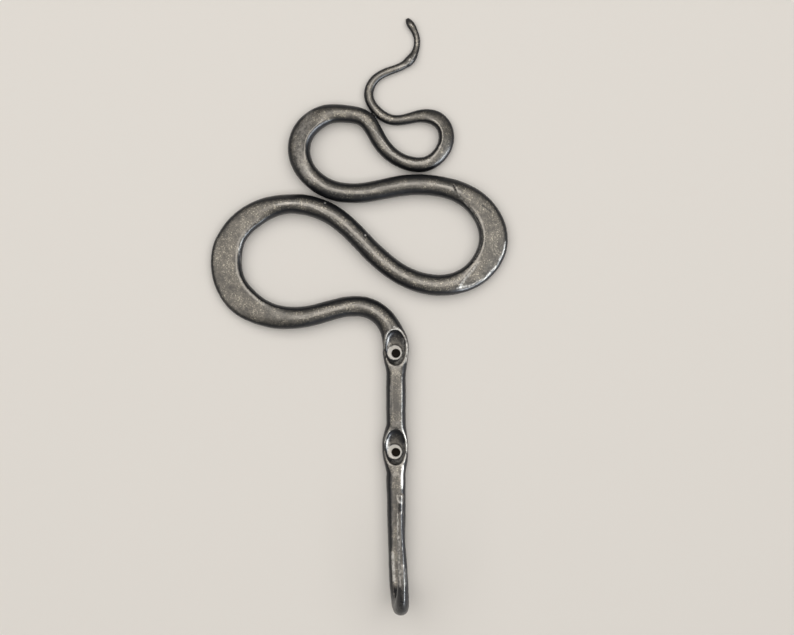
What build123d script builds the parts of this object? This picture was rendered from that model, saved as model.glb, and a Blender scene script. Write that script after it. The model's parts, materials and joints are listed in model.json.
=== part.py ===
"""Serpentine wall hook, forged in one piece from a round bar.

Millimetres. The wall is the plane Y = 0, the hook's front faces -Y and it hangs with +Z upwards.
The origin lies on the wall, midway between the two screw holes.
"""

import os
from collections import namedtuple
from math import copysign, cos, pi, radians, sin

from build123d import *

# The bar, as the smith starts with it: how thin its tail is drawn out and how far in its faint corners
# lie, as shares of its diameter (a true circle has 0.146), and how deep the anvil flattens its back.
bar_d = 10.0
tail_thin = 0.26
corner_share = 0.15
back_flat = 0.3

# The two screw holes, each sunk in a punched dish that spreads the bar into a boss. The dish is dish_w by
# dish_h in the boss's face and wall_w by wall_h at a share of its depth, and it flares on over the face.
hole_spacing = 47.3
hole_d = 4.3
sink_d = 7.8
sink_depth = 2.5
sink_aside = -0.6
sink_rise = 0.4
boss_w = 12.6
boss_t = 7.8
boss_edge = 1.6
boss_rise = 2.4
dish_w = 10.1
dish_h = 14.8
dish_depth = 2.7
dish_rise = 2.9
dish_rim = 0.2
dish_over = 3.0
dish_lean = -0.05
dish_square = 0.85
wall_share = 0.6
wall_w = 9.4
wall_h = 13.1
egg_points = 12

# The shank between and below the bosses, hammered towards a square with a flat strip down its front.
shank_w = 9.5
shank_t = 9.2
strip_w = 5.0

# The hook, which bends forward at the bottom, swaying aside, and is drawn out to a small flicked tip.
hook_drop = 75.2
hook_bend_r = 17.0
hook_sway = 3.3
sway_ease = 1.5
heel_aside = 0.5
heel_w = 7.7
heel_t = 8.6
bend_w = 7.9
bend_t = 8.0
bend_flat = 5.0
leg_w = 5.2
leg_t = 6.6
leg_lean = 8.0
leg_length = 34.6
leg_return = 1.3
top_w = 3.3
top_t = 3.4
neck_d = 2.5
flick_out = 4.8
flick_up = 9.6
knob_d = 3.2

# Across each hammered bend, from its inner edge to its outer one.
big_face = 15.1
right_face = 14.0
upper_face = 11.1
small_face = 7.6

# Hammering spreads the bar: what it gains in width it loses in thickness, most of all at the outer edge.
thinning = 0.75
wedge = 0.2
edge_share = 0.28
crown = 0.25

# How blunt the two drawn-out ends are: their last section, as a share of the bar's diameter just before it.
blunt = 0.6

# How many points of the scroll a sweep takes, and the angle between the points of the hook's bend.
stretch = 4
bend_step = 30

upper_z = hole_spacing / 2
lower_z = -hole_spacing / 2
RIGHT, LEFT = 1, -1
DOWN = Vector(0, 0, -1)

# A section is the bar cut across: its width, the height of its two front corners over its back and how
# far they lie in from its sides, how far its front bulges past them, and the height of its back corners.
Section = namedtuple("Section", "width left_t right_t left_in right_in bulge back")


def round_section(d):
    """The bar as it comes: all but a circle, with the faint corners that hammering leaves."""
    inset = corner_share * d
    return Section(d, d - inset, d - inset, inset, inset, inset, inset)


def hammered_section(thin, face, outside):
    """The bar, drawn thin by a share, hammered out to a bend's face: a wedge that is thin on the outside."""
    d = thin * bar_d
    mean_t = d * (1 - thinning * (face / d - 1))
    thick, thin = mean_t * (1 + wedge), mean_t * (1 - wedge)
    left, right = (thick, thin) if outside == RIGHT else (thin, thick)
    return Section(face, left, right, edge_share * left, edge_share * right, crown, back_flat)


def squared_section(width, thickness, flat_w):
    """The bar hammered flat in front, with its sides left rounded."""
    inset = (width - flat_w) / 2
    return Section(width, thickness, thickness, inset, inset, crown, thickness / 6)


def between(start, end, share):
    """The section a share of the way from one to another."""
    return Section(*(a + (b - a) * share for a, b in zip(start, end)))


def draw(section, plane):
    """Draws a section as four arcs, on a plane that lies on the wall and whose Y points to the front."""
    half = section.width / 2
    left, right = section.left_in - half, half - section.right_in
    left_t, right_t, back = (t - back_flat for t in (section.left_t, section.right_t, section.back))
    with BuildSketch(plane) as cut:
        with BuildLine():
            ThreePointArc((left, left_t), (0, (left_t + right_t) / 2 + section.bulge), (right, right_t))
            ThreePointArc((right, right_t), (half, (right_t + back) / 2), (right, back))
            ThreePointArc((right, back), (0, -back_flat), (left, back))
            ThreePointArc((left, back), (-half, (left_t + back) / 2), (left, left_t))
        make_face()
    return cut.sketch


boss = squared_section(boss_w, boss_t, boss_w - 2 * boss_edge)
shank = squared_section(shank_w, shank_t, strip_w)

# The scroll, from its drawn-out end down to the upper boss, laid out in bar diameters. Each bend has the
# section that it is hammered to and its points: x and z from the upper hole, how thin the bar is drawn
# there, and the share of the hammering.
Bend = namedtuple("Bend", "hammered points")
tail = Bend(round_section(bar_d), [
    (0.54, 16.03, blunt * tail_thin, 0),
    (0.58, 15.93, tail_thin, 0),
    (0.95, 15.26, 0.29, 0),
    (0.93, 14.44, 0.34, 0),
    (0.45, 13.82, 0.4, 0),
    (-0.33, 13.49, 0.42, 0),
    (-1.03, 13.07, 0.45, 0),
    (-1.3, 12.31, 0.46, 0),
    (-0.935, 11.6, 0.49, 0),
    (-0.235, 11.16, 0.51, 0),
])
small_bend = Bend(hammered_section(0.66, small_face, RIGHT), [
    (0.54, 11.2, 0.53, 0),
    (1.36, 11.34, 0.6, 0.4),
    (2.16, 11.02, 0.64, 0.8),
    (2.41, 10.3, 0.66, 1.0),
    (2.12, 9.53, 0.68, 0.7),
    (1.48, 9.05, 0.71, 0.3),
    (0.68, 9.05, 0.73, 0),
])
upper_bend = Bend(hammered_section(0.93, upper_face, LEFT), [
    (-0.73, 10.05, 0.78, 0),
    (-1.57, 11.23, 0.83, 0),
    (-2.4, 11.42, 0.86, 0),
    (-3.23, 11.4, 0.9, 0.3),
    (-3.98, 11.02, 0.92, 0.9),
    (-4.49, 10.37, 0.93, 1.0),
    (-4.61, 9.58, 0.94, 0.8),
    (-4.35, 8.8, 0.95, 0.3),
    (-3.08, 7.8, 0.96, 0),
])
right_bend = Bend(hammered_section(1, right_face, RIGHT), [
    (-1.4, 7.68, 0.98, 0),
    (0.21, 7.98, 1, 0),
    (1.86, 7.99, 1, 0),
    (3.44, 7.47, 1, 0.3),
    (4.07, 6.93, 1, 0.6),
    (4.5, 6.22, 1, 0.85),
    (4.65, 5.42, 1, 1.0),
    (4.45, 4.64, 1, 0.95),
    (3.96, 3.97, 1, 0.7),
    (3.27, 3.5, 1, 0.35),
    (2.46, 3.28, 1, 0.1),
    (0.83, 3.49, 1, 0),
])
big_bend = Bend(hammered_section(1, big_face, LEFT), [
    (-1.18, 4.9, 1, 0),
    (-3.01, 6.58, 1, 0),
    (-4.56, 7.11, 1, 0),
    (-6.21, 6.88, 1, 0.2),
    (-6.93, 6.49, 1, 0.45),
    (-7.55, 5.93, 1, 0.6),
    (-7.96, 5.21, 1, 0.85),
    (-8.1, 4.39, 1, 1.0),
    (-7.98, 3.57, 1, 1.0),
    (-7.6, 2.85, 1, 1.0),
    (-7, 2.29, 1, 0.85),
    (-6.26, 1.91, 1, 0.5),
    (-5.45, 1.72, 1, 0.25),
    (-3.8, 1.86, 1, 0),
])
shoulder = Bend(boss, [
    (-2.2, 2.25, 1, 0),
    (-1.39, 2.19, 1, 0),
    (-0.65, 1.75, 1, 0),
    (-0.22, 1.12, 1, 0.35),
    (-0.06, 0.68, 1, 0.9),
    (0, boss_rise / bar_d, 1, 1),
])
bends = [tail, small_bend, upper_bend, right_bend, big_bend, shoulder]

# How a boss swells out of the shank: how far up or down from its middle and how far aside, in bar
# diameters, and the share of the swelling.
swell_above = [(1.3, 0, 0), (0.86, -0.02, 0.3), (0.5, -0.04, 0.75), (0, -0.04, 1)]
swell_below = [(-0.52, -0.02, 0.75), (-0.96, 0, 0.2), (-1.4, 0, 0)]

# The bar drawn out along the hook: at the bend's start and bottom, at the leg's foot and top, at the tip.
heel = squared_section(heel_w, heel_t, strip_w)
bend_bottom = squared_section(bend_w, bend_t, bend_flat)._replace(back=bend_t / 12)
leg_foot = squared_section(leg_w, leg_t, leg_w / 2)
leg_top = squared_section(top_w, top_t, top_w / 2)
neck = round_section(neck_d)
knob = round_section(knob_d)
knob_end = round_section(blunt * knob_d)


def across(place, along, side):
    """The plane that cuts the bar square at a place where it runs along, with side on its right."""
    return Plane(origin=place, x_dir=side, z_dir=along)


def scroll_cut(route, at, section):
    """The scroll's section at a parameter of its route, which lies on the wall."""
    along = route % at
    return draw(section, across(route @ at, along, Vector(0, -1, 0).cross(along)))


def boss_cuts(hole_z, swell):
    """The shank's sections as it swells out to the boss round a screw hole."""
    cuts = []
    for z, x, share in swell:
        place = (x * bar_d, 0, hole_z + boss_rise + z * bar_d)
        cuts.append(draw(between(shank, boss, share), across(place, DOWN, Vector(1, 0, 0))))
    return cuts


# The scroll's route lies on the wall, under the middle of the bar.
stations = [
    (x * bar_d, upper_z + z * bar_d, between(round_section(thin * bar_d), bend.hammered, share))
    for bend in bends
    for x, z, thin, share in bend.points
]
with BuildLine() as scroll_line:
    Spline(*[(x, 0, z) for x, z, _ in stations], tangents=[(0.3, 0, -1), (0, 0, -1)], tangent_scalars=[1, 1])
route = scroll_line.edges()[0]
places = [route.param_at_point((x, 0, z)) for x, z, _ in stations]

# The hook's route follows its outside: down off the wall, out under the hook, up the leg and out again.
bend_z = lower_z - hook_drop + hook_bend_r
lean = radians(leg_lean)


def bend_point(angle):
    """A point on the hook's bend, an angle in degrees on from the wall."""
    sway = heel_aside + (hook_sway - heel_aside) * sin(radians(angle / 2)) ** sway_ease
    return Vector(sway, -hook_bend_r * (1 - cos(radians(angle))), bend_z - hook_bend_r * sin(radians(angle)))


bend_angles = [step * bend_step for step in range(6)] + [180 - leg_lean]
foot = bend_point(bend_angles[-1])
top = foot + Vector(-leg_return, -leg_length * sin(lean), leg_length * cos(lean))
up_leg = Vector(0, -sin(lean), cos(lean))
hook_points = [bend_point(angle) for angle in bend_angles] + [top]
with BuildLine() as hook_line:
    Spline(*hook_points, tangents=[DOWN, up_leg], tangent_scalars=[1, 1])
    TangentArc(top, top + Vector(0, -flick_out, flick_up), tangent=up_leg)
hook_route, flick = hook_line.edges()


def hook_cut(run, at, section):
    """The hook's section at a parameter of its route, with the inside of the hook to its front."""
    along = run % at
    return draw(section, across(run @ at, along, (Vector(1, 0, 0) - along * along.X).normalized()))


def bend_section(angle):
    """The bar's section on the hook's bend, an angle on from the wall."""
    if angle < 90:
        return between(heel, bend_bottom, angle / 90)
    return between(bend_bottom, leg_foot, (angle - 90) / (bend_angles[-1] - 90))


def dish_cut(x, y, z, width, height, lean):
    """An egg-shaped section of a dish, on a plane parallel to the wall: lean puts its widest part lower."""
    turns = [2 * pi * step / egg_points for step in range(egg_points)]
    aside = [copysign(abs(sin(a)) ** dish_square, sin(a)) * (1 - lean * cos(a)) for a in turns]
    points = [(width / 2 * x, height / 2 * cos(a)) for x, a in zip(aside, turns)]
    with BuildSketch(Plane(origin=(x, y, z), x_dir=(1, 0, 0), z_dir=(0, -1, 0))) as cut:
        with BuildLine():
            Spline(*points, periodic=True)
        make_face()
    return cut.sketch


with BuildPart() as forged_hook:
    # The scroll, in stretches that turn less than half a circle.
    for first in range(0, len(stations) - 1, stretch):
        last = min(first + stretch, len(stations) - 1)
        cuts = [scroll_cut(route, places[i], stations[i][2]) for i in range(first, last + 1)]
        sweep(sections=cuts, path=route.trim(places[first], places[last]), multisection=True)

    # The shank, straight down the wall: the upper boss, a plain length, the lower boss, and on to the bend.
    upper_boss = boss_cuts(upper_z, [(0, 0, 1)] + swell_below)
    lower_boss = boss_cuts(lower_z, swell_above + swell_below)
    loft(sections=upper_boss)
    loft(sections=[upper_boss[-1], lower_boss[0]])
    loft(sections=lower_boss)
    loft(sections=[lower_boss[-1], hook_cut(hook_route, 0, heel)])

    # The hook, drawn out down its bend, up its leg and along the flick to the tip's knob.
    drawn = [(hook_route.param_at_point(bend_point(angle)), bend_section(angle)) for angle in bend_angles]
    for run in (drawn[:stretch], drawn[stretch - 1:], [drawn[-1], (1, leg_top)]):
        cuts = [hook_cut(hook_route, at, section) for at, section in run]
        sweep(sections=cuts, path=hook_route.trim(run[0][0], run[-1][0]), multisection=True)
    flicked = [(0, leg_top), (0.3, neck), (0.6, knob), (0.9, knob), (1, knob_end)]
    cuts = [hook_cut(flick, at, section) for at, section in flicked]
    sweep(sections=cuts, path=flick, multisection=True)

    # The anvil's flat down the whole back.
    split(bisect_by=Plane.XZ, keep=Keep.TOP)

    # Each screw hole: an oval dish, punched deepest round the hole, drilled and countersunk in its floor.
    # The countersink lies a little off the hole, as a hand-held drill leaves it.
    front = -(boss_t - back_flat)
    wall_y, floor_y = front + wall_share * dish_depth, front + dish_depth
    floor_d = sink_d + 2 * dish_rim
    flare = dish_over / (wall_share * dish_depth)
    mouth_w, mouth_h = dish_w + flare * (dish_w - wall_w), dish_h + flare * (dish_h - wall_h)
    for hole_z in (upper_z, lower_z):
        sink_z = hole_z + sink_rise
        wall_x, wall_z = sink_aside * wall_share, sink_z + (dish_rise - sink_rise) * wall_share
        mouth = dish_cut(0, front - dish_over, hole_z + dish_rise, mouth_w, mouth_h, dish_lean)
        wall = dish_cut(wall_x, wall_y, wall_z, wall_w, wall_h, dish_lean)
        floor = dish_cut(sink_aside, floor_y, sink_z, floor_d, floor_d, 0)
        loft(sections=[mouth, wall, floor], mode=Mode.SUBTRACT)
        with Locations(Plane(origin=(0, floor_y, hole_z), x_dir=(1, 0, 0), z_dir=(0, -1, 0))):
            Hole(hole_d / 2)
        with Locations(Plane(origin=(sink_aside, floor_y, sink_z), x_dir=(1, 0, 0), z_dir=(0, 1, 0))):
            inward = (Align.CENTER, Align.CENTER, Align.MIN)
            Cone(sink_d / 2, sink_d / 2 - sink_depth, sink_depth, align=inward, mode=Mode.SUBTRACT)

forged_hook.part.label = "forged_hook"
os.makedirs("parts", exist_ok=True)
export_step(forged_hook.part, "parts/forged_hook.step")
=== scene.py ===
import json
from math import pi, radians

import bpy
import numpy
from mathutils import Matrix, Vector


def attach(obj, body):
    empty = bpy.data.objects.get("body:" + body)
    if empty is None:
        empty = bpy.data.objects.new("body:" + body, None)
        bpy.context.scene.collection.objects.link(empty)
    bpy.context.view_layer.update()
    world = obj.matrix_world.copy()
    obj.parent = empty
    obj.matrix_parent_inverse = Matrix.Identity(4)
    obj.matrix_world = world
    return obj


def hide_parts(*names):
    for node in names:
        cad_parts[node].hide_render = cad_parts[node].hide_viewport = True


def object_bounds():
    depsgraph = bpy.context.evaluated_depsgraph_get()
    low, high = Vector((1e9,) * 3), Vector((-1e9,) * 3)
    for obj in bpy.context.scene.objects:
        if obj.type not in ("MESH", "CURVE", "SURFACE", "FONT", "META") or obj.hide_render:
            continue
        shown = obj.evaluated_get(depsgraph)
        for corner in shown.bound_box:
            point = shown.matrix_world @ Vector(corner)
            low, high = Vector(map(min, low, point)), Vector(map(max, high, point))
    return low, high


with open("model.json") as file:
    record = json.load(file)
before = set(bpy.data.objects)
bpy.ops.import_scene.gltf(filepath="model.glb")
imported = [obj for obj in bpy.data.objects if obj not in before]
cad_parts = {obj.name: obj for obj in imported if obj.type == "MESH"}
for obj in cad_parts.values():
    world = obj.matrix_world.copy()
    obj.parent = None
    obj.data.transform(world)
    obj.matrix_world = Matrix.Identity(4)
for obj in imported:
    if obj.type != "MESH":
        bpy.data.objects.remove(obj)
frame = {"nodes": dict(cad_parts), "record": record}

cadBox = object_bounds()
mm = 0.001


def deselectAll():
    if bpy.context.object and bpy.context.object.mode != "OBJECT":
        bpy.ops.object.mode_set(mode="OBJECT")
    bpy.ops.object.select_all(action="DESELECT")


def makeActive(obj):
    deselectAll()
    obj.select_set(True)
    bpy.context.view_layer.objects.active = obj


def applyModifier(obj, kind, name, **values):
    makeActive(obj)
    modifier = obj.modifiers.new(name, kind)
    for key, value in values.items():
        setattr(modifier, key, value)
    bpy.ops.object.modifier_apply(modifier=modifier.name)


def readVertices(obj, field):
    flat = numpy.empty(len(obj.data.vertices) * 3)
    obj.data.vertices.foreach_get(field, flat)
    return flat.reshape(-1, 3)


def readPoints(obj):
    # in millimetres: X runs across the wall, Y into it and Z up it
    return readVertices(obj, "co") / mm


def writePoints(obj, points):
    obj.data.vertices.foreach_set("co", (points * mm).ravel())
    obj.data.update()


def evenStep(value, low, reach):
    # nothing up to low, then evenly up to 1 at low + reach
    return max(0.0, min(1.0, (value - low) / reach))


def smoothStep(value, low, high):
    share = numpy.clip((value - low) / (high - low), 0, 1)
    return share * share * (3 - 2 * share)


def fromLine(points, line):
    # how far each point lies from a line of corners, to which side, and how far along it is
    nearest = numpy.full(len(points), numpy.inf)
    side = numpy.zeros(len(points))
    along = numpy.zeros(len(points))
    for index, (start, end) in enumerate(zip(line, line[1:])):
        start, step = numpy.array(start), numpy.array(end) - numpy.array(start)
        offset = points[:, [0, 2]] - start
        share = numpy.clip(offset @ step / (step @ step), 0, 1)
        gap = offset - share[:, None] * step
        distance = numpy.hypot(gap[:, 0], gap[:, 1])
        closer = distance < nearest
        nearest[closer] = distance[closer]
        side[closer] = numpy.sign(offset[closer, 0] * step[1] - offset[closer, 1] * step[0])
        along[closer] = (index + share[closer]) / (len(line) - 1)
    return nearest, side, along


# the screw holes, as the record gives them
holes = next(mount for mount in frame["record"]["mounts"] if mount["name"] == "screw_holes")
holeMiddle = Vector(holes["pos_m"])
holeStep = Vector((0, 0, holes["dims"]["spacing_y_mm"] * mm / 2))
holeCentres = [holeMiddle + holeStep, holeMiddle - holeStep]
holeRadius = holes["dims"]["hole_r_mm"] * mm


# the forged bar: the solid's copy, with even faces, then hammered
bar = {
    "mergeWithin": 0.0005 * mm,
    "voxel": 0.36 * mm,          # size of the remeshed faces
    "smoothing": 0.5,
    "smoothSteps": 4,
    "wallClear": 0.6 * mm,       # the back this near the wall stays flat
    "waveSize": 18 * mm,         # unevenness of the drawn bar
    "waveDepth": 0.26 * mm,
    "blowSize": 7 * mm,          # overlapping hammer marks
    "blowDepth": 0.14 * mm,
    "pitSize": 1.6 * mm,         # pits left by the scale
    "pitDepth": 0.10 * mm,
    "level": 0.65,               # the share of each mark's depth that sinks below the drawn skin
    "thinFrom": 95 * mm,         # heights between which the bar thins towards its tail
    "thinTo": 150 * mm,
    "thinLoss": 0.8,             # the share of its marks' depth that the thin tail loses
    "inside": 0.02,              # millimetres kept clear of the solid's box
    "triangles": 190000,
    "sharpAngle": 50,
}


def copyOfNode(nodeName, pieceName):
    node = frame["nodes"][nodeName]
    copy = bpy.data.objects.new(pieceName, node.data.copy())
    copy.data.name = pieceName
    copy.data.materials.clear()
    bpy.context.scene.collection.objects.link(copy)
    makeActive(copy)
    bpy.ops.object.mode_set(mode="EDIT")
    bpy.ops.mesh.select_all(action="SELECT")
    bpy.ops.mesh.remove_doubles(threshold=bar["mergeWithin"])
    bpy.ops.mesh.delete_loose()
    bpy.ops.object.mode_set(mode="OBJECT")
    return copy


def markTexture(name, kind, size, **values):
    texture = bpy.data.textures.new(name, kind)
    texture.noise_scale = size
    for key, value in values.items():
        setattr(texture, key, value)
    return texture


def groupOffTheWall(obj):
    # full weight in front, none where the bar lies on the wall, little on the thin tail
    clear = bar["wallClear"]
    thinning = bar["thinTo"] - bar["thinFrom"]
    group = obj.vertex_groups.new(name="offTheWall")
    for vertex in obj.data.vertices:
        lift = evenStep(-vertex.co.y, clear, 2 * clear)
        thin = evenStep(vertex.co.z, bar["thinFrom"], thinning)
        group.add([vertex.index], lift * (1 - bar["thinLoss"] * thin), "REPLACE")


hook = copyOfNode("forged_hook", "forgedHook")
print("copied bar", len(hook.data.vertices))
applyModifier(hook, "REMESH", "evenFaces", mode="VOXEL", voxel_size=bar["voxel"],
              use_smooth_shade=True)
print("remeshed bar", len(hook.data.polygons))
applyModifier(hook, "SMOOTH", "soften", factor=bar["smoothing"], iterations=bar["smoothSteps"])
groupOffTheWall(hook)


# the thin tail: evened out here, and swollen to its drawn thickness after the hammer marks
tail = {
    "evened": [(152, 0), (157, 1), (179, 1), (182, 0)],     # height in mm, share of smoothing
    "smoothing": 0.5,
    "smoothSteps": 50,
    "swells": [    # height, reach up and down, and rise of the skin, in millimetres
        (173.0, 8.0, 0.45),
        (163.5, 4.5, 0.12),
        (180.5, 3.0, 0.18),
    ],
}


def groupTail(obj):
    heights = [height * mm for height, _ in tail["evened"]]
    shares = [share for _, share in tail["evened"]]
    group = obj.vertex_groups.new(name="tail")
    for vertex in obj.data.vertices:
        if vertex.co.z > heights[0]:
            share = float(numpy.interp(vertex.co.z, heights, shares))
            group.add([vertex.index], share, "REPLACE")


def swellTail(obj):
    points = readPoints(obj)
    outward = readVertices(obj, "normal")
    for height, reach, rise in tail["swells"]:
        amount = rise * (1 - smoothStep(numpy.abs(points[:, 2] - height), 0, reach))
        points += outward * amount[:, None]
    writePoints(obj, points)


groupTail(hook)
applyModifier(hook, "SMOOTH", "evenTail", factor=tail["smoothing"],
              iterations=tail["smoothSteps"], vertex_group="tail")
print("evened tail")

marks = [    # name and kind of the pattern, size, depth, how fine it goes
    ("forgeWaves", "CLOUDS", bar["waveSize"], bar["waveDepth"], {"noise_depth": 1}),
    ("hammerBlows", "VORONOI", bar["blowSize"], bar["blowDepth"], {}),
    ("scalePits", "CLOUDS", bar["pitSize"], bar["pitDepth"], {"noise_depth": 3}),
]
for name, kind, size, depth, fineness in marks:
    applyModifier(hook, "DISPLACE", name, texture=markTexture(name, kind, size, **fineness),
                  strength=depth, mid_level=bar["level"], texture_coords="LOCAL",
                  vertex_group="offTheWall")
print("hammered bar")


# marks of single blows, in millimetres across the wall, pressed into the front
blows = {
    "front": (1.5, 4.0),         # how far off the wall a mark starts and is full
    "fold": {
        "line": [(27.0, 104.8), (28.2, 101.7), (28.8, 98.8)],
        "width": 0.45,
        "depth": 0.40,
        "ends": 0.3,             # the share of the line over which each end runs out
    },
    "hammerEdge": {
        "line": [(29.4, 54.6), (34.4, 61.0), (39.6, 67.2)],
        "width": 1.1,
        "depth": 0.45,
        "fade": (1.5, 9.0),      # how far from the edge its low side starts to rise and is level
        "ends": 0.25,
    },
    "nicks": {
        "places": [(-14.6, 79.7), (-25.3, 93.4), (-33.7, 95.1)],
        "width": 0.8,
        "depth": 0.35,
    },
}


def endsRunOut(along, share):
    return smoothStep(numpy.minimum(along, 1 - along), 0.0, share)


def pressBlows(obj):
    points = readPoints(obj)
    inFront = smoothStep(-points[:, 1], *blows["front"])
    fold = blows["fold"]
    distance, _, along = fromLine(points, fold["line"])
    groove = 1 - smoothStep(distance, 0, fold["width"])
    points[:, 1] += fold["depth"] * endsRunOut(along, fold["ends"]) * inFront * groove
    edge = blows["hammerEdge"]
    distance, side, along = fromLine(points, edge["line"])
    step = smoothStep(distance * side, -edge["width"], edge["width"])
    step *= 1 - smoothStep(distance, *edge["fade"])
    points[:, 1] += edge["depth"] * step * endsRunOut(along, edge["ends"]) * inFront
    nicks = blows["nicks"]
    for x, z in nicks["places"]:
        distance = numpy.hypot(points[:, 0] - x, points[:, 2] - z)
        points[:, 1] += nicks["depth"] * inFront * (1 - smoothStep(distance, 0, nicks["width"]))
    writePoints(obj, points)


def keepInBox(obj):
    low, high = (numpy.array(corner) / mm for corner in cadBox)
    writePoints(obj, numpy.clip(readPoints(obj), low + bar["inside"], high - bar["inside"]))


swellTail(hook)
pressBlows(hook)
keepInBox(hook)
triangles = sum(len(face.vertices) - 2 for face in hook.data.polygons)
applyModifier(hook, "DECIMATE", "thinOut", ratio=min(1.0, bar["triangles"] / triangles))
makeActive(hook)
bpy.ops.object.shade_smooth_by_angle(angle=radians(bar["sharpAngle"]))
print("struck bar", len(hook.data.polygons))


# worn metal and painted light, kept on the mesh's points: how far each point bulges, the bright
# countersinks and nicks, and single lines of painted highlight and painted shade; lengths are in
# millimetres
wearAndPaintedLight = {
    "bulgeSteps": 6,            # how often the bulge is evened out
    "thinBulge": 0.6,           # the share of its bulge that the thin tail loses
    "shortEdge": 1e-6,          # the least squared length that a turn is divided by
    "sinkRadius": 3.3,
    "sinkAside": -0.6,          # the countersink's middle, off the hole's
    "sinkRise": 0.5,
    "nickRadius": 0.3,
    "nickShine": 0.5,
    "spotEdge": 0.3,            # width of the soft edge round countersinks and nicks
    "backDull": (0.4, 1.0),     # how far off the wall worn metal and painted light start and are full
    "turned": (-0.2, 0.2),      # how far a face turns forwards where streaks start and are full
    "streakEdge": (0.4, 1.4),   # where a streak starts to fade and ends, in its half widths
    "legBefore": 22,            # the leg is what lies this far off the wall
    "legStreaks": [             # line, half width, how much painted highlight or, below nothing, how much painted shade
        ([(0.7, -40.8), (1.7, -43.6)], 0.70, 1.0),
        ([(2.9, -42.8), (3.0, -44.8)], 0.45, 0.3),
        ([(3.9, -40.5), (4.0, -46.5)], 0.70, -0.8),
        ([(1.9, -45.4), (2.0, -47.2)], 1.30, -1.0),
        ([(0.7, -49.5), (0.9, -60.0)], 0.60, 0.8),
        ([(2.7, -50.0), (3.3, -72.0)], 1.00, -0.9),
        ([(1.3, -60.0), (2.0, -84.0)], 0.80, 0.6),
        ([(-2.5, -38.0), (-2.4, -56.0)], 0.70, -0.5),
        ([(-2.1, -56.0), (-2.0, -62.0), (-1.6, -80.0)], 1.00, -0.8),
        ([(2.7, -71.5), (3.0, -78.5)], 0.50, 0.3),
        ([(4.3, -75.0), (4.4, -84.0)], 0.50, 0.3),
        ([(4.0, -38.0), (4.0, -70.0)], 1.00, -0.8),
        ([(3.5, -74.0), (3.4, -84.0)], 0.50, -0.7),
        ([(2.8, -88.0), (2.8, -99.0)], 4.50, -1.0),
    ],
    "shankStreaks": [
        ([(-0.4, -36.0), (0.2, -66.0)], 2.20, -0.3),
        ([(-3.3, -33.0), (-2.7, -68.0)], 1.30, -0.8),
        ([(-1.7, -71.0), (-0.8, -84.0)], 0.90, 0.4),
        ([(3.2, -29.5), (2.9, -34.0), (2.7, -40.0)], 0.60, 0.8),
        ([(0.2, 12.0), (0.2, -12.0)], 1.90, -0.45),
        ([(-4.1, 12.0), (-4.1, -12.0)], 0.80, -0.9),
        ([(2.7, 12.5), (2.6, -4.0), (2.5, -10.0), (3.0, -13.0)], 0.40, 0.4),
        ([(-2.7, 9.0), (-2.7, -9.0)], 0.30, 0.3),
    ],
    "dishStreaks": [
        ([(-4.2, 31.6), (-4.0, 29.6), (-3.4, 27.6)], 1.10, 0.32),
        ([(3.3, 30.4), (4.2, 26.6), (3.8, 23.4), (2.3, 20.3), (-0.2, 18.8)], 0.90, 0.35),
        ([(-4.0, -18.0), (-3.8, -20.4), (-3.3, -22.2)], 1.10, 0.45),
        ([(4.1, -19.5), (4.2, -23.0), (3.4, -26.0), (1.2, -27.8), (-1.6, -27.9)], 0.90, 0.30),
        ([(-0.9, 36.3), (0.8, 35.8), (3.0, 33.8), (4.8, 30.2), (5.6, 26.4), (5.5, 22.3),
          (4.8, 19.8)], 0.40, 0.6),
        ([(1.6, -12.1), (3.5, -14.0), (4.8, -16.6), (5.3, -19.8), (5.3, -23.4)], 0.38, 0.6),
        ([(-4.6, 34.5), (-5.2, 31.0), (-5.6, 27.0), (-5.4, 22.0)], 0.60, -0.5),
        ([(-4.2, -13.5), (-5.2, -17.0), (-5.5, -21.0), (-5.2, -25.0)], 0.60, -0.5),
    ],
    "scrollStreaks": [
        ([(-34.2, 100.6), (-24.1, 98.5), (-12.3, 98.3), (-2.8, 99.4), (6.7, 101.0),
          (16.1, 100.6), (25.6, 97.0), (33.5, 90.2)], 1.20, -0.7),
        ([(-40.7, 136.8), (-46.4, 125.0), (-46.4, 115.4), (-40.7, 106.0)], 3.00, 0.22),
        ([(29.6, 98.9), (36.7, 90.6), (40.6, 83.1), (41.0, 77.5), (39.5, 72.0),
          (36.7, 67.2)], 0.30, 0.35),
        ([(29.0, 54.8), (35.5, 56.1), (42.4, 59.7), (47.7, 65.4), (51.2, 72.2),
          (52.0, 76.7)], 0.40, 0.5),
        ([(30.0, 55.6), (33.8, 60.3), (39.4, 66.8)], 0.80, 0.3),
        ([(0.0, 159.3), (4.6, 161.2), (7.6, 163.4), (9.3, 166.4)], 0.35, 0.5),
        ([(-17.0, 135.6), (-9.5, 128.9), (-2.0, 119.4), (3.5, 115.8), (9.8, 114.5),
          (16.1, 115.8)], 0.35, 0.35),
        ([(-57.3, 94.1), (-47.8, 95.1), (-39.5, 93.3), (-31.3, 88.8), (-21.8, 80.5),
          (-12.3, 71.6)], 0.45, 0.25),
        ([(-64.5, 88.3), (-69.5, 84.0), (-73.0, 78.5), (-74.4, 72.0), (-73.8, 66.5)], 0.40, 0.25),
        ([(41.2, 93.9), (43.0, 92.9), (45.2, 91.1)], 0.50, -0.8),
        ([(32.4, 99.4), (34.6, 97.6)], 0.45, -0.6),
        ([(48.0, 66.0), (48.6, 65.4)], 0.50, -0.6),
    ],
}


def paintLayer(obj, name, values):
    layer = obj.data.attributes.new(name, "FLOAT", "POINT")
    layer.data.foreach_set("value", values)


def offTheWall(points):
    return smoothStep(-points[:, 1], *wearAndPaintedLight["backDull"])


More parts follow.
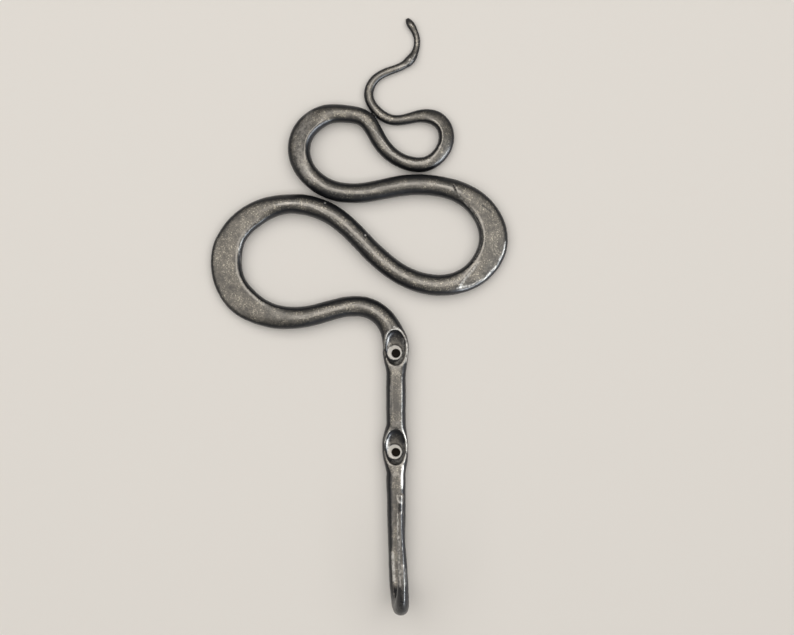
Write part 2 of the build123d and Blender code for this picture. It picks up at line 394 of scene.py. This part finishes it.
def paintBulge(obj):
    # the curvature, in turns of the normal per millimetre, evened out over the neighbours
    points = readPoints(obj)
    normals = readVertices(obj, "normal")
    ends = numpy.empty(len(obj.data.edges) * 2, dtype=int)
    obj.data.edges.foreach_get("vertices", ends)
    first, second = ends.reshape(-1, 2).T

    # for each point, the sum of what its edges bring it, or without values how many they are
    def sumOfEdges(atFirst=None, atSecond=None):
        sums = numpy.bincount(first, atFirst, len(points))
        return sums + numpy.bincount(second, atSecond, len(points))

    edge = points[second] - points[first]
    lengths = numpy.maximum((edge ** 2).sum(1), wearAndPaintedLight["shortEdge"])
    turn = ((normals[second] - normals[first]) * edge).sum(1) / lengths
    neighbours = sumOfEdges()
    bulge = sumOfEdges(turn, turn) / neighbours
    thin = smoothStep(points[:, 2], bar["thinFrom"] / mm, bar["thinTo"] / mm)
    bulge *= 1 - wearAndPaintedLight["thinBulge"] * thin
    for _ in range(wearAndPaintedLight["bulgeSteps"]):
        bulge = (bulge + sumOfEdges(bulge[second], bulge[first]) / neighbours) / 2
    paintLayer(obj, "bulge", bulge * offTheWall(points))


def paintBrightMetal(obj):
    points = readPoints(obj)
    spots = [(centre.x / mm + wearAndPaintedLight["sinkAside"], centre.z / mm + wearAndPaintedLight["sinkRise"],
              wearAndPaintedLight["sinkRadius"], 1) for centre in holeCentres]
    spots += [(x, z, wearAndPaintedLight["nickRadius"], wearAndPaintedLight["nickShine"]) for x, z in blows["nicks"]["places"]]
    bright = numpy.zeros(len(points))
    for x, z, radius, shine in spots:
        distance = numpy.hypot(points[:, 0] - x, points[:, 2] - z)
        spot = shine * (1 - smoothStep(distance, radius, radius + wearAndPaintedLight["spotEdge"]))
        bright = numpy.maximum(bright, spot)
    paintLayer(obj, "brightMetal", bright * offTheWall(points))


# lines of painted highlight along bevels, edges and ridges, and of painted shade along lower and
# far sides
def paintLightAndShadeLines(obj):
    points = readPoints(obj)
    facing = smoothStep(-readVertices(obj, "normal")[:, 1], *wearAndPaintedLight["turned"]) * offTheWall(points)
    onLeg = points[:, 1] < -wearAndPaintedLight["legBefore"]
    onWall = wearAndPaintedLight["shankStreaks"] + wearAndPaintedLight["dishStreaks"] + wearAndPaintedLight["scrollStreaks"]
    fade, end = wearAndPaintedLight["streakEdge"]
    paintedLightAndShade = numpy.zeros(len(points))
    for marked, lines in ((onLeg, wearAndPaintedLight["legStreaks"]), (~onLeg, onWall)):
        for line, width, amount in lines:
            distance = fromLine(points, line)[0]
            soft = 1 - smoothStep(distance, fade * width, end * width)
            paintedLightAndShade += amount * marked * facing * soft
    paintLayer(obj, "paintedLightAndShade", numpy.clip(paintedLightAndShade, -1, 1))


paintBulge(hook)
paintBrightMetal(hook)
paintLightAndShadeLines(hook)
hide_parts("forged_hook")
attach(hook, "root")
print("worn bar")


class Nodes:
    # adds shader nodes to a tree and joins them
    def __init__(self, owner):
        owner.use_nodes = True
        self.tree = owner.node_tree
        self.tree.nodes.clear()

    def put(self, socket, value):
        if isinstance(value, bpy.types.NodeSocket):
            self.tree.links.new(value, socket)
        else:
            socket.default_value = value

    def add(self, kind, inputs=None, **values):
        node = self.tree.nodes.new(kind)
        for key, value in values.items():
            setattr(node, key, value)
        for key, value in (inputs or {}).items():
            self.put(node.inputs[key], value)
        return node

    def layer(self, name):
        return self.add("ShaderNodeAttribute", attribute_name=name).outputs["Fac"]

    def noise(self, vector, size, detail, rough):
        inputs = {"Vector": vector, "Scale": 1 / size, "Detail": detail, "Roughness": rough}
        return self.add("ShaderNodeTexNoise", inputs).outputs["Fac"]

    def span(self, value, low, high, toLow=0.0, toHigh=1.0):
        inputs = {"Value": value, "From Min": low, "From Max": high,
                  "To Min": toLow, "To Max": toHigh}
        node = self.add("ShaderNodeMapRange", inputs, interpolation_type="SMOOTHSTEP")
        return node.outputs["Result"]

    def maths(self, operation, first, second):
        node = self.add("ShaderNodeMath", {0: first, 1: second}, operation=operation)
        return node.outputs[0]

    def mix(self, share, first, second):
        # sockets 0, 6 and 7 are the share and the two colours, and output 2 is the mixed colour
        node = self.add("ShaderNodeMix", data_type="RGBA")
        self.put(node.inputs[0], share)
        self.put(node.inputs[6], first)
        self.put(node.inputs[7], second)
        return node.outputs[2]


# forged steel: black scale, rubbed grey on the high front faces and more so on the ridges, with
# flecks;
# the black sides are partly painted shade, round bars are darkened as painted shade, the crowns
# carry a painted highlight, and single lines add painted highlight and painted shade
steel = {
    # black scale, also the colour of the painted shade lines
    "scale": (0.017, 0.018, 0.021, 1),
    "rubbed": (0.178, 0.163, 0.140, 1),
    # colour of the worn ridges, partly a painted highlight, and of the painted crown highlight
    "ridge": (0.35, 0.33, 0.30, 1),
    "fleck": (0.36, 0.33, 0.27, 1),
    # bare metal of the countersinks and nicks, also the colour of the painted highlight lines
    "bright": (0.88, 0.86, 0.82, 1),
    "blotches": (7 * mm, 4, 0.6),               # size, detail and roughness of each pattern
    "grain": (1.3 * mm, 5, 0.75),
    "fine": (0.7 * mm, 2, 0.6),
    "frontFacing": (0.72, 0.97),                # how far a face turns to the front to be rubbed; the sides stay black, partly as painted shade
    "crownFacing": (0.978, 0.999),              # and to get a painted highlight along the crown of a round bar
    "backFacing": (0.80, 0.99, 0.0, 0.35),      # to the back, and how far that is rubbed
    "hollowWear": (-0.12, -0.02, 0.3, 1.0),     # low and high bulge, and the wear at each
    # painted shade that makes round bars darker than the flats
    "roundPaintedShade": (0.04, 0.12, 1.0, 0.68),
    # the bulge over which the crown's painted highlight rises
    "crownHighlightBulge": (0.04, 0.12, 0.0, 0.6),
    "ridgeWearAndHighlight": (0.16, 0.40, 0.0, 1.0),
    "blotchWear": (0.35, 0.65, 0.0, 0.35),      # low and high pattern, and the wear at each
    "grainWear": (0.38, 0.62, 0.30, 0.65),
    "fleckFine": (0.57, 0.62, 0.0, 1.0),
    "fleckBlotch": (0.44, 0.56, 0.15, 0.9),
    "ridgeGrain": (0.35, 0.6, 0.5, 1.0),
    "darkGrain": (0.38, 0.58, 0.5, 1.0),
    "lightGrain": (0.42, 0.58, 0.25, 1.0),
    "roughness": (0.3, 0.7, 0.32, 0.50),        # low and high grain, and the roughness at each
    "metal": 0.8,
    "drilledRough": 0.55,                       # the countersinks
    "drilledMetal": 0.35,
    "bump": 0.22,
    "bumpHeight": 0.12 * mm,
    "fineBump": 0.4,                            # the fine pattern's share, against the grain's
    "oil": 0.3,
    "oilRough": 0.2,
}


def forgedSteel():
    material = bpy.data.materials.new("forgedSteel")
    n = Nodes(material)
    coordinates = n.add("ShaderNodeTexCoord")
    place = coordinates.outputs["Object"]
    blotch = n.noise(place, *steel["blotches"])
    grain = n.noise(place, *steel["grain"])
    fine = n.noise(place, *steel["fine"])
    bulge = n.layer("bulge")
    paintedLightAndShade = n.layer("paintedLightAndShade")
    bright = n.layer("brightMetal")

    # rubbed where a face turns to the front, less so in hollows and on the back: partly
    # wire-brushed wear, partly painted shade that keeps the sides black
    backward = n.add("ShaderNodeSeparateXYZ", {0: coordinates.outputs["Normal"]}).outputs["Y"]
    facing = n.maths("MULTIPLY", backward, -1.0)
    raised = n.span(bulge, *steel["hollowWear"])
    front = n.maths("MULTIPLY", n.span(facing, *steel["frontFacing"]), raised)
    front = n.maths("MAXIMUM", front, n.span(backward, *steel["backFacing"]))
    worn = n.maths("ADD", n.span(blotch, *steel["blotchWear"]), n.span(grain, *steel["grainWear"]))
    # round bars darker than the flats: painted shade
    worn = n.maths("MULTIPLY", worn, n.span(bulge, *steel["roundPaintedShade"]))
    colour = n.mix(n.maths("MULTIPLY", front, worn), steel["scale"], steel["rubbed"])

    # flecks, then a painted highlight on the crowns, and the ridges, worn bright and partly
    # painted highlight
    fleck = n.maths("MULTIPLY", n.span(fine, *steel["fleckFine"]),
                    n.span(blotch, *steel["fleckBlotch"]))
    colour = n.mix(n.maths("MULTIPLY", fleck, front), colour, steel["fleck"])
    paintedCrownHighlight = n.maths("MULTIPLY", n.span(facing, *steel["crownFacing"]),
                    n.span(bulge, *steel["crownHighlightBulge"]))
    # worn bright edges, partly a painted highlight along the rims
    ridge = n.maths("MULTIPLY", n.span(bulge, *steel["ridgeWearAndHighlight"]),
                    n.span(grain, *steel["ridgeGrain"]))
    colour = n.mix(n.maths("MAXIMUM", paintedCrownHighlight, ridge), colour, steel["ridge"])

    # single lines of painted shade and painted highlight, then the countersinks
    paintedShade = n.maths("MULTIPLY", n.span(paintedLightAndShade, 0.0, -1.0), n.span(grain, *steel["darkGrain"]))
    colour = n.mix(paintedShade, colour, steel["scale"])
    paintedHighlight = n.maths("MULTIPLY", n.span(paintedLightAndShade, 0.0, 1.0), n.span(grain, *steel["lightGrain"]))
    colour = n.mix(paintedHighlight, colour, steel["bright"])
    colour = n.mix(bright, colour, steel["bright"])

    drilled = n.maths("MULTIPLY", bright, steel["drilledRough"])
    rough = n.maths("MAXIMUM", n.span(grain, *steel["roughness"]), drilled)
    metal = n.span(bright, 0.0, 1.0, steel["metal"], steel["drilledMetal"])
    height = n.maths("ADD", grain, n.maths("MULTIPLY", fine, steel["fineBump"]))
    bump = n.add("ShaderNodeBump", {"Strength": steel["bump"], "Distance": steel["bumpHeight"],
                                    "Height": height})
    shader = n.add("ShaderNodeBsdfPrincipled", {
        "Base Color": colour,
        "Roughness": rough,
        "Metallic": metal,
        "Normal": bump.outputs[0],
        "Coat Weight": steel["oil"],
        "Coat Roughness": steel["oilRough"],
    })
    n.add("ShaderNodeOutputMaterial", {"Surface": shader.outputs[0]})
    return material


hook.data.materials.append(forgedSteel())
print("forged steel")


# a plain pale wall, which lets light and sight through from behind
wall = {
    "size": 2.4,
    "gap": 0.4 * mm,
    "colour": (0.80, 0.78, 0.75, 1),
    "seeThrough": 4 * mm,                 # a ray shorter than this passes
    "holeShade": (0.02, 0.017, 0.014, 1),     # painted shade of holes in the flat wall, behind the screw holes
    "holeShadeWider": 1.3,                    # their radius, against the screw holes'
}


def wallPaint():
    material = bpy.data.materials.new("wallPaint")
    n = Nodes(material)
    place = n.add("ShaderNodeTexCoord").outputs["Object"]
    colour = wall["colour"]
    # dark discs behind the screw holes: painted shade of holes that the wall doesn't have
    for centre in holeCentres:
        middle = (centre.x, centre.z, 0)      # the wall is a plane stood up, so its Y is height
        away = n.add("ShaderNodeVectorMath", {0: place, 1: middle}, operation="DISTANCE")
        inside = n.maths("LESS_THAN", away.outputs["Value"], holeRadius * wall["holeShadeWider"])
        colour = n.mix(inside, colour, wall["holeShade"])
    diffuse = n.add("ShaderNodeBsdfDiffuse", {"Color": colour})
    clear = n.add("ShaderNodeBsdfTransparent")
    length = n.add("ShaderNodeLightPath").outputs["Ray Length"]
    near = n.maths("LESS_THAN", length, wall["seeThrough"])
    behind = n.add("ShaderNodeNewGeometry").outputs["Backfacing"]
    hidden = n.maths("MAXIMUM", near, behind)
    mixed = n.add("ShaderNodeMixShader", {0: hidden, 1: diffuse.outputs[0], 2: clear.outputs[0]})
    n.add("ShaderNodeOutputMaterial", {"Surface": mixed.outputs[0]})
    return material


deselectAll()
bpy.ops.mesh.primitive_plane_add(size=wall["size"], location=(0, wall["gap"], 0),
                                 rotation=(pi / 2, 0, 0))
backdrop = bpy.context.object
backdrop.name = "wall"
backdrop.data.materials.append(wallPaint())
print("wall")


# studio light: a broad soft lamp in front, a weak sky, and a window high in front and a low strip
# from the right that show only as gloss
studio = {
    "sky": 0.20,
    "skyColour": (1.0, 0.96, 0.91, 1),
    "backdrop": 0.42,            # the sky, as seen past the wall and in the metal
    "target": Vector((-0.01, -0.005, 0.04)),
    "lamps": [    # name, place, width, height, power, colour, whether it lights matt surfaces too
        ("softbox", (-0.05, -1.30, 0.26), 3.0, 1.9, 26.5, (1.0, 0.97, 0.93), True),
        ("window", (0.0, -1.29, 0.50), 0.7, 0.3, 1.8, (1.0, 0.98, 0.95), False),
        ("lowStrip", (0.50, -0.18, -0.34), 0.14, 0.7, 7, (0.90, 0.95, 1.0), False),
    ],
}

world = bpy.data.worlds.new("studio")
bpy.context.scene.world = world
sky = Nodes(world)
dim = sky.add("ShaderNodeBackground", {"Color": studio["skyColour"], "Strength": studio["sky"]})
pale = sky.add("ShaderNodeBackground", {"Color": wall["colour"], "Strength": studio["backdrop"]})
path = sky.add("ShaderNodeLightPath").outputs
mirrored = sky.maths("MAXIMUM", path["Is Glossy Ray"], path["Is Transmission Ray"])
seen = sky.maths("MAXIMUM", path["Is Camera Ray"], mirrored)
both = sky.add("ShaderNodeMixShader", {0: seen, 1: dim.outputs[0], 2: pale.outputs[0]})
sky.add("ShaderNodeOutputWorld", {"Surface": both.outputs[0]})

for name, place, width, height, power, colour, onMatt in studio["lamps"]:
    light = bpy.data.lights.new(name, "AREA")
    light.shape = "RECTANGLE"
    light.size, light.size_y = width, height
    light.energy = power
    light.color = colour
    lamp = bpy.data.objects.new(name, light)
    bpy.context.scene.collection.objects.link(lamp)
    lamp.visible_diffuse = onMatt
    lamp.location = place
    lamp.rotation_euler = (studio["target"] - lamp.location).to_track_quat("-Z", "Y").to_euler()
print("light")


# the camera looks straight at the wall
view = {"away": 0.9, "x": 0.5 * mm, "z": 40.8 * mm, "lens": 85.216, "sensor": 36}
camera = bpy.data.objects.new("camera", bpy.data.cameras.new("camera"))
bpy.context.scene.collection.objects.link(camera)
camera.location = (view["x"], -view["away"], view["z"])
camera.rotation_euler = (pi / 2, 0, 0)
camera.data.lens = view["lens"]
camera.data.sensor_width = view["sensor"]
bpy.context.scene.camera = camera
bpy.context.scene.view_settings.view_transform = "Standard"
print("camera")
